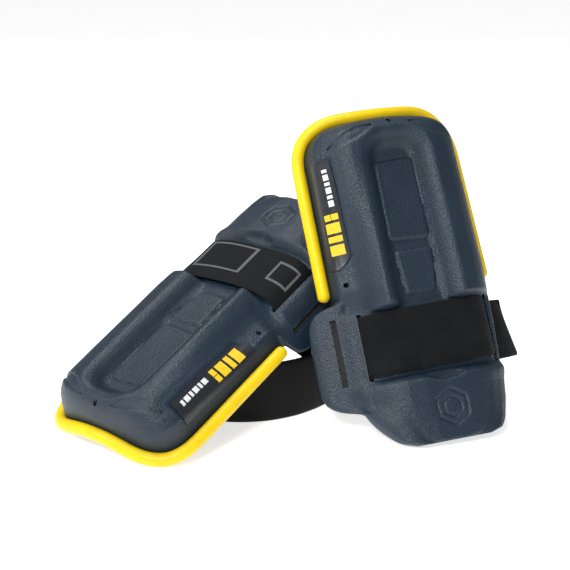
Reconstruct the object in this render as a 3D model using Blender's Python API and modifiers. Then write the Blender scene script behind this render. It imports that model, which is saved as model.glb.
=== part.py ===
"""Two identical moulded foam knee pads with leg straps, one standing and one lying beside it.

A pad is modelled in its own frame, in metres: X to the wearer's side, Y up the leg with the rimmed
knee end at +Y, Z out of the front. pad_to_world then stands one pad up and lays the other down.
"""
import bmesh
import bpy
import numpy as np
from mathutils import Matrix, Vector

MM = 0.001

# The pad's outline, in millimetres of the pad's own frame.
KNEE_TOP = 181.0
TAIL_END = -92.0
TOP_CORNER_RADIUS = 30.0
RIM_END = 42.0
WAIST = (-36.0, 22.0)
TAIL_FACE = -50.0

# The strap, a standard 50 mm woven elastic.
STRAP_WIDTH = 50.0
STRAP_THICKNESS = 2.2
STRAP_CENTRE_Y = -7.0
SLOT_X = 55.5
SLOT_WIDTH = 6.0
SLOT_LENGTH = 56.0

# Other driving sizes.
BEAD_RADIUS = 5.0
GAP = 0.35
EAR_THICKNESS = 6.0
EAR_SLOT_REACH = 12.5
# Across the ear, outwards: X, Z, and how far it reaches down and up the pad. The lying pad's ear is
# pressed down by the pad that leans on it.
FREE_EAR = ((-60.5, 13.5, -60, 30), (-64, 12, -60, 31), (-71, 9, -56.5, 32), (-78, 5.5, -54, 31),
            (-84, 3, -51, 28), (-88, 0, -46, 23), (-91, -3, -40, 15))
PRESSED_EAR = ((-60.5, 12, -60, 30), (-64, 7.5, -60, 31), (-67.5, 2, -56.5, 32), (-71.5, -6, -54, 31),
               (-73.5, -11, -51, 28), (-74.5, -15, -46, 22), (-75, -18, -40, 13))
HOLE_RADIUS = 2.2
CUSHION_THICKNESS = 8.0
LABEL_THICKNESS = 1.0
PATCH_THICKNESS = 1.2
LIP_THICKNESS = 2.0
TAB_THICKNESS = 2.0
TAB_WIDTH = 38.0
LOOP_STEPS = 4

# Heights across the pad: (share of the half width, millimetres above the rim's plane).
KNEE_SECTION = ((0, 33), (0.2, 33), (0.26, 36), (0.33, 42), (0.42, 44.5), (0.6, 43.5), (0.72, 41),
                (0.82, 36.5), (0.9, 30), (0.95, 22), (0.98, 13), (1, 3))
LOWER_BANK = ((0, 33), (0.2, 33), (0.26, 36), (0.33, 42), (0.42, 44.5), (0.52, 43.5), (0.62, 38),
              (0.72, 28), (0.77, 25), (0.82, 23), (0.9, 20), (0.95, 18.5), (0.98, 17), (1, 5))
UPPER_BANK = ((0, 33), (0.2, 33), (0.26, 36), (0.33, 42), (0.42, 44.5), (0.6, 43.5), (0.72, 40),
              (0.77, 37), (0.82, 34), (0.9, 29), (0.95, 25.5), (0.98, 23), (1, 8))
WAIST_SECTION = ((0, 33), (0.3, 33), (0.5, 32), (0.65, 29.5), (0.8, 25), (0.9, 24), (0.95, 23), (1, 16))
TAIL_SECTION = ((0, 44), (0.3, 44), (0.5, 42.5), (0.7, 39), (0.85, 34.5), (0.95, 30), (1, 25))
KNEE_HOLLOW = ((0, 24), (0.4, 24), (0.6, 21), (0.72, 15), (0.82, 5), (0.88, -1), (1, -2))
WAIST_HOLLOW = ((0, 24), (0.4, 23), (0.6, 19), (0.75, 14), (0.88, 9), (1, 3))
TAIL_HOLLOW = ((0, 35), (0.3, 34.5), (0.5, 33), (0.7, 29.5), (0.85, 25), (1, 18))

# Half widths along the pad: (height up the pad, half width).
LEFT_SIDE = ((-92, 32), (-89, 42), (-86, 47), (-79, 53), (-70, 60), (-61, 64), (-50, 66), (42, 67))
RIGHT_SIDE = ((-92, 32), (-89, 43), (-84, 49), (-67, 56), (-45, 62), (-10, 64), (20, 65), (42, 66),
              (KNEE_TOP - TOP_CORNER_RADIUS, 63))
# How far the edge stands above the rim's plane, on top of the section's own edge.
EDGE_LIFT = ((-92, 11), (-84, 6), (-70, 2), (-50, -3), (-30, 0))
LEFT_EDGE_LIFT = ((-92, 11), (-84, 6), (-70, 1), (-61, -3), (-54, -7), (-45, -7), (-30, -6), (30, -6), (40, 0))

COLUMNS = (0, 0.1, 0.2, 0.26, 0.33, 0.42, 0.52, 0.62, 0.72, 0.77, 0.82, 0.9, 0.95, 0.98, 1)
ROWS = (-92, -89, -86, -81, -74, -66, -58, -51, -45, -40, -36, -28, -16, -4, 8, 19, 22, 25, 28, 36, 48, 60,
        72, 84, 96, 108, 120, 132, 141, 146, 151, 156, 162, 167, 171, 175, 178, 180, KNEE_TOP)
LABEL_COLUMNS = (-0.98, -0.95, -0.9, -0.82)
LABEL_ROWS = (60, 72, 84, 96, 108, 120, 132, 141, 146)
KNEE_CUSHION_ROWS = (48, 60, 72, 84, 96, 108, 120, 132, 141, 146, 151)
SHIN_CUSHION_ROWS = (-81, -74, -66, -58, -51, -45, -40, -36, -28, -16, -4, 8)

# Where the two pads stand: the pad's X, Y and Z axes and its origin, in world axes.
STANDING_AXES = ((0.94, 0.337, 0.049), (-0.19, 0.411, 0.891))
STANDING_ORIGIN = (108.0, 1079.5, 64.0)
LYING_AXES = ((-0.76, 0.654, 0.031), (-0.59, -0.677, -0.44))
LYING_ORIGIN = (-33.0, 1121.0, 80.0)

# The ring that the lying pad's strap makes on the floor: its middle, then its turns and their radii.
FLOOR = -4.5
RING_CENTRE = (-37.0, 1129.0)
RING_TURNS = ((154, 70), (172, 69), (190, 69), (208, 70), (226, 72), (246, 74), (266, 74), (286, 74),
              (306, 74), (322, 75), (334, 77))
# The heights where a leg strap leaves its slots, going down behind the pad.
SLOT_HEIGHTS = (1, -3)
LYING_SLOT_HEIGHTS = (1, -3, -14)
# The standing pad's folded strap in the pad's own axes: X, Y, Z and how far its width leans to X.
FOLDED_STRAP = ((67, -7, -9, -4), (87, -6, -16, -9), (95, -5, -24, -10), (87, -3, -33, -8),
                (52, 0, -41, -4), (10, 0, -45, 0), (-28, -2, -40, 0), (-47, -5, -29, 0),
                (-54, -7, -14, 0))
# The rows of each leg strap that its fastening covers.
STANDING_TAB = (27, 31)
LYING_TAB = (26, 32)
# Where the strap comes down from the slots to the ring.
RING_RIGHT_DROP = ((-70, 1171, 58), (-78, 1173, 42), (-89, 1166, 29))
RING_LEFT_DROP = ((40, 1099, 27), (38, 1106, 39), (29, 1105, 54))


def new_collection(name):
    collection = bpy.data.collections.new(name)
    bpy.context.scene.collection.children.link(collection)
    return collection


def material(name, colour, roughness, metallic=0.0):
    made = bpy.data.materials.new(name)
    made.use_nodes = True
    shader = made.node_tree.nodes["Principled BSDF"]
    shader.inputs["Base Color"].default_value = (*colour, 1)
    shader.inputs["Roughness"].default_value = roughness
    shader.inputs["Metallic"].default_value = metallic
    return made


def along(table, at):
    """The value of a table of (place, value) pairs at a place, on straight lines between them."""
    places = [pair[0] for pair in table]
    values = [pair[1] for pair in table]
    return float(np.interp(at, places, values))


def ease(start, end, at):
    """0 before start and 1 after end, with a smooth turn between them."""
    share = min(max((at - start) / (end - start), 0.0), 1.0)
    return share * share * (3 - 2 * share)


def half_width(u, y):
    """The pad's half width at a height, on the side that the column u is on."""
    side = LEFT_SIDE if u < 0 else RIGHT_SIDE
    width = along(side, y)
    into_corner = y - (KNEE_TOP - TOP_CORNER_RADIUS)
    if into_corner > 0:
        drop = max(TOP_CORNER_RADIUS ** 2 - into_corner ** 2, 0.0) ** 0.5
        width -= TOP_CORNER_RADIUS - drop
    return width


def rim_rise(u, y):
    """How far the edge arches forward across the top of the knee end."""
    return 15.0 * ease(150, 180, y) * (1 - u * u)


def edge_lift(u, y):
    """How far the section is raised towards its edge."""
    lift = along(LEFT_EDGE_LIFT if u < 0 else EDGE_LIFT, y)
    return lift * ease(0.5, 1, abs(u))


def sections(u, y, knee, waist, tail):
    side = abs(u)
    value = along(waist, side)
    value += (knee - value) * ease(20, 29, y)
    value += (along(tail, side) - along(waist, side)) * (1 - ease(TAIL_FACE, WAIST[0], y))
    return value


def front_height(u, y):
    """The front face of the shell."""
    knee = along(KNEE_SECTION, u)
    if u < 0:
        lower = along(LOWER_BANK, -u)
        knee = lower + (along(UPPER_BANK, -u) - lower) * ease(50, 150, y)
    height = sections(u, y, knee, WAIST_SECTION, TAIL_SECTION)
    arch = ease(142, 154, y) * max(0.0, 1 - abs(u) / 0.42)
    height += 11.0 * min(1.0, 1.6 * arch)
    height += edge_lift(u, y)
    rim = 3.0 + 8.0 * ease(152, 176, y) + rim_rise(u, y)
    fall = max(0.0, (y - 158) / (KNEE_TOP - 158)) ** 2.4
    if y > 158:
        height = rim + (height - rim) * (1 - fall)
    return height


def back_height(u, y):
    """The hollow face of the shell."""
    height = sections(u, y, along(KNEE_HOLLOW, abs(u)), WAIST_HOLLOW, TAIL_HOLLOW)
    height += edge_lift(u, y)
    rim = -2.0 + rim_rise(u, y)
    if y > 146:
        height = rim + (height - rim) * (1 - ease(146, 176, y))
    front = front_height(u, y)
    height = min(height, front - 8.0)
    lip = 1 - ease(TAIL_END, -76, y)
    height += (front - LIP_THICKNESS - height) * lip
    return min(height, front - 5.0 * (1 - lip) - LIP_THICKNESS * lip)


def between(name, columns, rows, low, high):
    """A closed solid between two heights over the pad's own grid of columns and rows."""
    bpy.ops.mesh.primitive_grid_add(x_subdivisions=len(columns) - 1, y_subdivisions=len(rows) - 1)
    obj = bpy.context.object
    obj.name = name
    mesh = obj.data
    bm = bmesh.new()
    bm.from_mesh(mesh)
    for vert in bm.verts:
        column = round((vert.co.x + 1) / 2 * (len(columns) - 1))
        row = round((vert.co.y + 1) / 2 * (len(rows) - 1))
        vert.co = (columns[column], rows[row], 1)
    made = bmesh.ops.extrude_face_region(bm, geom=bm.faces[:])
    for item in made["geom"]:
        if isinstance(item, bmesh.types.BMVert):
            item.co.z = 0
    for vert in bm.verts:
        u, y = vert.co.x, vert.co.y
        height = high(u, y) if vert.co.z > 0.5 else low(u, y)
        vert.co = Vector((u * half_width(u, y), y, height)) * MM
    bmesh.ops.triangulate(bm, faces=bm.faces[:])
    bmesh.ops.recalc_face_normals(bm, faces=bm.faces[:])
    if bm.calc_volume(signed=True) < 0:
        bmesh.ops.reverse_faces(bm, faces=bm.faces[:])
    bm.to_mesh(mesh)
    bm.free()
    return obj


def all_columns():
    return tuple(-u for u in reversed(COLUMNS[1:])) + COLUMNS


def cut(obj, cutter, cutters, operation="DIFFERENCE"):
    """Cuts or joins obj with a second solid, which stays as a wire guide."""
    for collection in cutter.users_collection:
        collection.objects.unlink(cutter)
    cutters.objects.link(cutter)
    cutter.hide_render = True
    cutter.display_type = "WIRE"
    step = obj.modifiers.new(operation.lower(), "BOOLEAN")
    step.operation = operation
    step.solver = "EXACT"
    step.object = cutter


def slab(name, outline, low, high):
    """A flat plate with the given outline, from one height to another."""
    curve = bpy.data.curves.new(name, "CURVE")
    curve.dimensions = "2D"
    curve.fill_mode = "BOTH"
    curve.extrude = (high - low) / 2 * MM
    spline = curve.splines.new("POLY")
    spline.points.add(len(outline) - 1)
    spline.use_cyclic_u = True
    for point, (x, y) in zip(spline.points, outline):
        point.co = (x * MM, y * MM, 0, 1)
    flat = bpy.data.objects.new(name + "_outline", curve)
    bpy.context.scene.collection.objects.link(flat)
    bpy.context.view_layer.update()
    graph = bpy.context.evaluated_depsgraph_get()
    mesh = bpy.data.meshes.new_from_object(flat.evaluated_get(graph))
    bpy.data.objects.remove(flat)
    bm = bmesh.new()
    bm.from_mesh(mesh)
    bmesh.ops.remove_doubles(bm, verts=bm.verts[:], dist=0.00001)
    bmesh.ops.translate(bm, verts=bm.verts[:], vec=(0, 0, (low + high) / 2 * MM))
    bmesh.ops.recalc_face_normals(bm, faces=bm.faces[:])
    bm.to_mesh(mesh)
    bm.free()
    obj = bpy.data.objects.new(name, mesh)
    bpy.context.scene.collection.objects.link(obj)
    return obj


def rounded(corners, radius, steps=4):
    """An outline with its corners rounded, as a list of points."""
    points = []
    for i, corner in enumerate(corners):
        here = Vector(corner)
        before = (Vector(corners[i - 1]) - here).normalized()
        after = (Vector(corners[(i + 1) % len(corners)]) - here).normalized()
        start = here + before * radius
        end = here + after * radius
        for k in range(steps + 1):
            t = k / steps
            point = start * (1 - t) ** 2 + here * 2 * t * (1 - t) + end * t * t
            points.append((point.x, point.y))
    return points


def smooth_path(points, steps):
    """Points along a smooth curve through the given points, each a tuple of numbers."""
    rows = np.array(points, float)
    padded = np.vstack([2 * rows[0] - rows[1], rows, 2 * rows[-1] - rows[-2]])
    made = []
    for i in range(len(rows) - 1):
        a, b, c, d = padded[i:i + 4]
        for k in range(steps):
            t = k / steps
            made.append(0.5 * (2 * b + (c - a) * t + (2 * a - 5 * b + 4 * c - d) * t * t
                               + (3 * b - a - 3 * c + d) * t ** 3))
    made.append(rows[-1])
    return made


def band(name, stations, width, thickness, steps=4, lift=0.0, across=2, stretch=None):
    """A strap along stations, each its centre and the way that its width runs.

    A width way of length 1 gives the full width. lift moves the whole band out along its own face,
    which lays one band on another, and stretch keeps only the rows from its first to its last.
    """
    path = smooth_path([(*centre, *width_way) for centre, width_way in stations], steps)
    places = [Vector(row[:3]) for row in path]
    first, last = stretch or (0, len(path) - 1)
    grid = []
    for i in range(first, last + 1):
        row = path[i]
        ahead = (places[min(i + 1, len(path) - 1)] - places[max(i - 1, 0)]).normalized()
        width_way = Vector(row[3:])
        share = width_way.length
        width_way = (width_way - ahead * width_way.dot(ahead)).normalized()
        centre = places[i] + ahead.cross(width_way) * lift
        width_way *= share
        grid.append([(centre + width_way * (k / across - 0.5) * width) * MM for k in range(across + 1)])
    bm = bmesh.new()
    rows = [[bm.verts.new(point) for point in line] for line in grid]
    for one, two in zip(rows, rows[1:]):
        for k in range(across):
            bm.faces.new((one[k], one[k + 1], two[k + 1], two[k]))
    mesh = bpy.data.meshes.new(name)
    bm.to_mesh(mesh)
    bm.free()
    obj = bpy.data.objects.new(name, mesh)
    bpy.context.scene.collection.objects.link(obj)
    solid = obj.modifiers.new("thickness", "SOLIDIFY")
    solid.thickness = thickness * MM
    solid.offset = 0
    return obj


def ear_flap(name, section):
    """The flap beside the waist, which curls back round the leg."""
    stations = [(Vector((x, (low + high) / 2, z)), Vector((0, (high - low) / 100, 0)))
                for x, z, low, high in section]
    return band(name, stations, 100, EAR_THICKNESS, 1, across=6)


def ear_slot_place(section):
    """Where the ear's own slot crosses it, as X, Z and the way that the ear runs there."""
    spine = [Vector((x, z)) for x, z, low, high in section]
    left = EAR_SLOT_REACH
    for one, two in zip(spine, spine[1:]):
        step = two - one
        if step.length > left:
            break
        left -= step.length
    return one + step.normalized() * left, step.normalized()


def slot_cutter(name, low, high):
    half = SLOT_WIDTH / 2
    bottom, top = -SLOT_LENGTH / 2, SLOT_LENGTH / 2
    corners = [(-half, bottom), (half, bottom), (half, top), (-half, top)]
    return slab(name, rounded(corners, 2.0, 2), low, high)


def shell(name, ear_section, cutters):
    """The moulded foam body with its ear, slots and holes."""
    obj = between(name, all_columns(), ROWS, back_height, front_height)
    cut(obj, ear_flap(name + "_ear", ear_section), cutters, "UNION")
    for side, x in (("left", -SLOT_X), ("right", SLOT_X)):
        opening = slot_cutter(name + "_slot_" + side, -20, 60)
        opening.location = Vector((x, STRAP_CENTRE_Y, 0)) * MM
        cut(obj, opening, cutters)
    opening = slot_cutter(name + "_slot_ear", -8, 8)
    spot, way = ear_slot_place(ear_section)
    opening.location = Vector((spot.x, STRAP_CENTRE_Y, spot.y)) * MM
    opening.rotation_euler = (0, np.arctan2(way.y, -way.x), 0)
    cut(obj, opening, cutters)
    for place, (x, y) in (("top", (0, 174)), ("side", (-59, 46))):
        bpy.ops.mesh.primitive_cylinder_add(vertices=12, radius=HOLE_RADIUS * MM, depth=0.12,
                                            location=(x * MM, y * MM, 0.02))
        hole = bpy.context.object
        hole.name = name + "_hole_" + place
        cut(obj, hole, cutters)
    return obj


def bead_side(side_widths):
    """Half of the bead's path, from its lower end to the middle of the top, as (X, Y) pairs."""
    offset = BEAD_RADIUS + GAP
    points = [(along(side_widths, y) + offset, y) for y in (RIM_END, 58, 76, 94, 112, 130, 143)]
    centre_y = KNEE_TOP - TOP_CORNER_RADIUS
    centre_x = along(side_widths, centre_y) - TOP_CORNER_RADIUS
    reach = TOP_CORNER_RADIUS + offset
    for k in range(7):
        turn = np.radians(15 * k)
        points.append((centre_x + reach * np.cos(turn), centre_y + reach * np.sin(turn)))
    points += [(x, KNEE_TOP + offset) for x in (22, 11, 0)]
    return points


def rim_bead(name):
    """The bright round bead that runs up one side, over the top and down the other."""
    points = [(-x, y) for x, y in bead_side(LEFT_SIDE)]
    points += reversed(bead_side(RIGHT_SIDE)[:-1])
    curve = bpy.data.curves.new(name, "CURVE")
    curve.dimensions = "3D"
    curve.bevel_depth = BEAD_RADIUS * MM
    curve.bevel_resolution = 2
    curve.use_fill_caps = True
    spline = curve.splines.new("POLY")
    spline.points.add(len(points) - 1)
    spline.use_smooth = True
    for point, (x, y) in zip(spline.points, points):
        rise = rim_rise(min(abs(x) / along(RIGHT_SIDE, KNEE_TOP), 1), min(y, KNEE_TOP))
        point.co = (x * MM, y * MM, rise * MM, 1)
    obj = bpy.data.objects.new(name, curve)
    bpy.context.scene.collection.objects.link(obj)
    return obj


def label_plate(name):
    return between(name, LABEL_COLUMNS, LABEL_ROWS, lambda u, y: front_height(u, y) + GAP,
                   lambda u, y: front_height(u, y) + GAP + LABEL_THICKNESS)


def cushion(name, rows, edge):
    """A soft inlay that lines the hollow."""
    columns = tuple(u for u in all_columns() if abs(u) <= edge)

    def high(u, y):
        return back_height(u, y) - 1.0

    def low(u, y):
        ends = min(y - rows[0], rows[-1] - y)
        swell = min(1.0, 0.35 + ends / 18.0) * min(1.0, 0.35 + (edge - abs(u)) / 0.2)
        return back_height(u, y) - 1.0 - CUSHION_THICKNESS * swell

    return between(name, columns, rows, low, high)


def leaning(stations):
    """Stations (x, y, z, lean) as centres and width ways: lean tips the width off Y, towards X."""
    made = []
    for x, y, z, lean in stations:
        tip = np.radians(lean)
        made.append((Vector((x, y, z)), Vector((np.sin(tip), np.cos(tip), 0))))
    return made


def unit_mix(one, other, share):
    """A direction part of the way from one direction round to another."""
    return (one * (1 - share) + other * share).normalized()


def front_strap(name):
    half = [(-SLOT_X, 3.6), (-SLOT_X, 14), (-SLOT_X + 1, 25), (-45, 32.5), (-25, 37), (0, 38)]
    half += [(-x, z) for x, z in reversed(half[:-1])]
    stations = [(x, STRAP_CENTRE_Y, z, 0) for x, z in half]
    return band(name, leaning(stations), STRAP_WIDTH, STRAP_THICKNESS, 3)


def standing_loop(to_pad):
    """The standing pad's strap lies folded flat behind it, from the right slot round to the left."""
    right = [(SLOT_X, STRAP_CENTRE_Y, z, 0) for z in SLOT_HEIGHTS]
    left = [(-SLOT_X, STRAP_CENTRE_Y, z, 0) for z in reversed(SLOT_HEIGHTS)]
    return leaning(right + list(FOLDED_STRAP) + left)


def lying_loop(to_pad):
    """The lying pad's strap stands on its edge as a ring on the floor, under the pad."""
    to_world = to_pad.inverted()
    height = FLOOR + STRAP_WIDTH / 2
    up = Vector((0, 0, 1))
    flat = to_world.to_3x3() @ Vector((0, 1, 0))
    made = [(to_world @ Vector((SLOT_X, STRAP_CENTRE_Y, z)), flat) for z in LYING_SLOT_HEIGHTS]
    for k, drop in enumerate(RING_RIGHT_DROP):
        made.append((Vector(drop), unit_mix(flat, up, (k + 1) / (len(RING_RIGHT_DROP) + 1))))
    for turn, radius in RING_TURNS:
        angle = np.radians(turn)
        reach = Vector((np.cos(angle), np.sin(angle), 0)) * radius
        made.append((Vector((*RING_CENTRE, height)) + reach, up))
    for k, drop in enumerate(RING_LEFT_DROP):
        made.append((Vector(drop), unit_mix(up, flat, (k + 1) / (len(RING_LEFT_DROP) + 1))))
    made += [(to_world @ Vector((-SLOT_X, STRAP_CENTRE_Y, z)), flat)
             for z in reversed(LYING_SLOT_HEIGHTS)]
    turn_back = to_pad.to_3x3()
    return [(to_pad @ centre, turn_back @ width_way) for centre, width_way in made]


def fastening(kind, loop, stretch):
    """The hook and loop closure on the outside of the leg strap, from the strap outwards."""
    layers = []
    level = STRAP_THICKNESS / 2
    for name, thickness in (("loop_patch_", PATCH_THICKNESS), ("hook_patch_", PATCH_THICKNESS),
                            ("strap_tab_", TAB_THICKNESS)):
        level += GAP + thickness / 2
        layers.append(band(name + kind, loop, TAB_WIDTH, thickness, LOOP_STEPS, level, 2, stretch))
        level += thickness / 2
    return layers


def pad(kind, ear_section, loop, stretch, cutters):
    """Every piece of one pad, in the pad's own frame."""
    foam = material("foam_" + kind, (0.03, 0.042, 0.06), 0.5)
    bright = material("bead_" + kind, (0.8, 0.6, 0.01), 0.45)
    satin = material("label_" + kind, (0.008, 0.012, 0.02), 0.35)
    soft = material("cushion_" + kind, (0.02, 0.02, 0.022), 0.8)
    woven = material("elastic_" + kind, (0.012, 0.014, 0.018), 0.7)
    fuzzy = material("hook_and_loop_" + kind, (0.008, 0.008, 0.01), 0.9)
    loop_patch, hook_patch, tab = fastening(kind, loop, stretch)
    pieces = [
        (shell("shell_" + kind, ear_section, cutters), foam),
        (rim_bead("rim_bead_" + kind), bright),
        (label_plate("label_plate_" + kind), satin),
        (cushion("knee_cushion_" + kind, KNEE_CUSHION_ROWS, 0.72), soft),
        (cushion("shin_cushion_" + kind, SHIN_CUSHION_ROWS, 0.62), soft),
        (front_strap("front_strap_" + kind), woven),
        (band("leg_strap_" + kind, loop, STRAP_WIDTH, STRAP_THICKNESS, LOOP_STEPS), woven),
        (loop_patch, fuzzy),
        (hook_patch, fuzzy),
        (tab, woven),
    ]
    for obj, look in pieces:
        obj.data.materials.clear()
        obj.data.materials.append(look)
    return [obj for obj, look in pieces]


def pad_to_world(axes, origin):
    x = Vector(axes[0]).normalized()
    y = Vector(axes[1])
    y = (y - x * y.dot(x)).normalized()
    z = x.cross(y)
    turn = Matrix((x, y, z)).transposed().to_4x4()
    return Matrix.Translation(Vector(origin)) @ turn


def place(pieces, matrix, parts, kind):
    frame = bpy.data.objects.new("pad_frame_" + kind, None)
    parts.objects.link(frame)
    frame.matrix_world = matrix
    for obj in pieces:
        for collection in obj.users_collection:
            collection.objects.unlink(obj)
        parts.objects.link(obj)
        obj.parent = frame
    return frame


def tab_axis(kind, loop, stretch, parts, frame):
    """An empty on the line that the tab peels about, at its sewn end, with the line along its Z."""
    path = smooth_path([(*centre, *width_way) for centre, width_way in loop], LOOP_STEPS)
    row = path[stretch[0]]
    ahead = Vector(path[stretch[0] + 1][:3]) - Vector(row[:3])
    width_way = Vector(row[3:]).normalized()
    out = ahead.normalized().cross(width_way)
    lift = STRAP_THICKNESS / 2 + 3 * GAP + 2 * PATCH_THICKNESS + TAB_THICKNESS / 2
    axis = bpy.data.objects.new("tab_axis_" + kind, None)
    parts.objects.link(axis)
    axis.parent = frame
    axis.location = (Vector(row[:3]) + out * lift) * MM
    axis.rotation_euler = width_way.to_track_quat("Z", "Y").to_euler()
    return axis


def hang(pieces, axis):
    """Hangs pieces of the same parent as the axis on the axis, where they are."""
    for obj in pieces:
        obj.parent = axis
        obj.matrix_parent_inverse = axis.matrix_basis.inverted()


def footprint_shift(parts):
    """How far the parts' box is from standing on the ground with its middle on the origin."""
    bpy.context.view_layer.update()
    graph = bpy.context.evaluated_depsgraph_get()
    points = []
    for obj in parts.objects:
        if obj.type == "EMPTY":
            continue
        solid = obj.evaluated_get(graph)
        mesh = solid.to_mesh()
        points += [obj.matrix_world @ vert.co for vert in mesh.vertices]
        solid.to_mesh_clear()
    low, high = (Vector([pick(point[k] for point in points) for k in range(3)]) for pick in (min, max))
    return Vector((-(low.x + high.x) / 2, -(low.y + high.y) / 2, -low.z))


def main():
    for obj in list(bpy.data.objects):
        bpy.data.objects.remove(obj)
    parts = new_collection("knee_pads")
    cutters = new_collection("cutters")
    frames = []
    for kind, ear_section, make_loop, stretch, axes, origin in (
            ("standing", FREE_EAR, standing_loop, STANDING_TAB, STANDING_AXES, STANDING_ORIGIN),
            ("lying", PRESSED_EAR, lying_loop, LYING_TAB, LYING_AXES, LYING_ORIGIN)):
        before = set(cutters.objects)
        matrix = pad_to_world(axes, origin)
        loop = make_loop(matrix.inverted())
        pieces = pad(kind, ear_section, loop, stretch, cutters)
        matrix.translation *= MM
        frame = place(pieces, matrix, parts, kind)
        axis = tab_axis(kind, loop, stretch, parts, frame)
        hang(pieces[-2:], axis)
        for cutter in set(cutters.objects) - before:
            cutter.parent = frame
        frames.append(frame)
    shift = footprint_shift(parts)
    for frame in frames:
        frame.location += shift
    bpy.context.view_layer.update()


main()
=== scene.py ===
"""The looks of two moulded foam knee pads, one leaning on the other.

Each pad is modelled in millimetres in its own frame: X to the side, Y up the leg towards the beaded
knee end, Z out of the front. pad_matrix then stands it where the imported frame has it, in metres.
"""

import math

import bmesh
import bpy
import numpy as np
from mathutils import Matrix, Vector


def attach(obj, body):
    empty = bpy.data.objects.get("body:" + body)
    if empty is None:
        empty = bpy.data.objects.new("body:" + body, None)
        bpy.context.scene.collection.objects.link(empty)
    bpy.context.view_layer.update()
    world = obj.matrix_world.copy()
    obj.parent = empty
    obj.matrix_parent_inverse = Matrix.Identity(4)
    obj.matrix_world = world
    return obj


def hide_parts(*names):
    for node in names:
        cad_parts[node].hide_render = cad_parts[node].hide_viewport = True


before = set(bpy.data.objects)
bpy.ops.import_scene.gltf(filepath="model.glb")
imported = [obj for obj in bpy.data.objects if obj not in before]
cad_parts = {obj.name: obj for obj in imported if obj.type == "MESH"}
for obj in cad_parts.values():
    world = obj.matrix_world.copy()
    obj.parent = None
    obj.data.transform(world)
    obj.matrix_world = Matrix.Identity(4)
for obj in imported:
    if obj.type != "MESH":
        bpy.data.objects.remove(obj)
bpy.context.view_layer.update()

MM = 0.001
KINDS = ("standing", "lying")

# Where the pads stand: X and Y axes in the row frame, and the origin in metres.
PAD_AXES = {"standing": ((0.94, 0.337, 0.049), (-0.19, 0.411, 0.891)),
            "lying": ((-0.76, 0.654, 0.031), (-0.59, -0.677, -0.44))}
PAD_ORIGIN = {"standing": (0.10078, 0.000895, 0.069228), "lying": (-0.04022, 0.042395, 0.085228)}
# From the pads' own layout, in millimetres, to the row frame.
LAYOUT_SHIFT = (-7.22, -1078.605, 5.228)

# The pad's outline. SIDE_REACH turns shares of the half width into millimetres.
KNEE_TOP = 181.0
TAIL_END = -92.0
TOP_CORNER_RADIUS = 30.0
SIDE_REACH = 67.0
RIM_END = 42.0
RIM_ARCH = 15.0
FALL_START = 158.0
FALL_POWER = 3.2
TAIL_TO_WAIST = (-42, -33.5)
WAIST_TO_KNEE = (18.5, 24)
THICKNESS = 8.0
LEAST_THICKNESS = 5.0
STRAP_WIDTH = 50.0
STRAP_THICKNESS = 2.2
STRAP_CENTRE_Y = -7.0
SLOT_X = 55.5
LEFT_SLOT_X = 54.2
SLOT_LENGTH = 55.5
SLOT_WIDTHS = {"left": 3.6, "right": 3.8, "ear": 5.4}
HOLE_RADIUS = 2.2
HOLES = {"top": (0, 174), "side": (-59, 46)}
STRAP_SLANT = 2.5
BEAD_RADIUS = 5.0
BEAD_PROUD = 0.35
GAP = 0.35
EAR_HALF = 3.0
EAR_SLOT_REACH = 12.5
EAR_ROOT = 60.5
LIP_THICKNESS = 2.0
BANK_BULGE = 2.2

# How finely the shell is made.
GRID_ROWS = 275
BODY_COLUMNS = 112
EDGE_COLUMNS = 15
EAR_COLUMNS = 26

# The curve of each ear outwards, as X and Z, and how many of its steps it reaches at each height.
EAR_CURVE = {"standing": ((-60.5, 13.5), (-64, 12), (-71, 9), (-78, 5.5), (-84, 3), (-88, 0), (-91, -3)),
             "lying": ((-60.5, 12), (-64, 7.5), (-67.5, 2), (-71.5, -6), (-73.5, -11), (-74.5, -15),
                       (-75, -18))}
EAR_REACH = ((-64, 0.4), (-61, 0.8), (-58.5, 1.5), (-56, 2.3), (-53.5, 3.2), (-50.5, 4.1), (-46, 5.1),
             (-39, 5.8), (-30, 6), (6, 6), (15, 5.8), (22, 5.2), (27, 4.3), (30, 3.3), (32, 2.2), (34, 1.2),
             (36, 0.5))

# Heights across the pad: (share of the half width, millimetres above the rim's plane).
KNEE_SECTION = ((0, 44.6), (0.46, 44.6), (0.6, 43.5), (0.72, 41), (0.82, 36.5), (0.9, 30), (0.95, 22),
                (0.98, 14), (1, 6))
LOWER_BANK = ((0, 44.6), (0.46, 44.4), (0.52, 43), (0.62, 37.5), (0.72, 28.5), (0.77, 25), (0.82, 23),
              (0.9, 20), (0.95, 18.5), (0.98, 16), (1, 6))
UPPER_BANK = ((0, 44.6), (0.46, 44.6), (0.6, 43.5), (0.72, 40), (0.77, 37), (0.82, 34), (0.9, 29),
              (0.95, 25.5), (0.98, 22), (1, 8))
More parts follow.
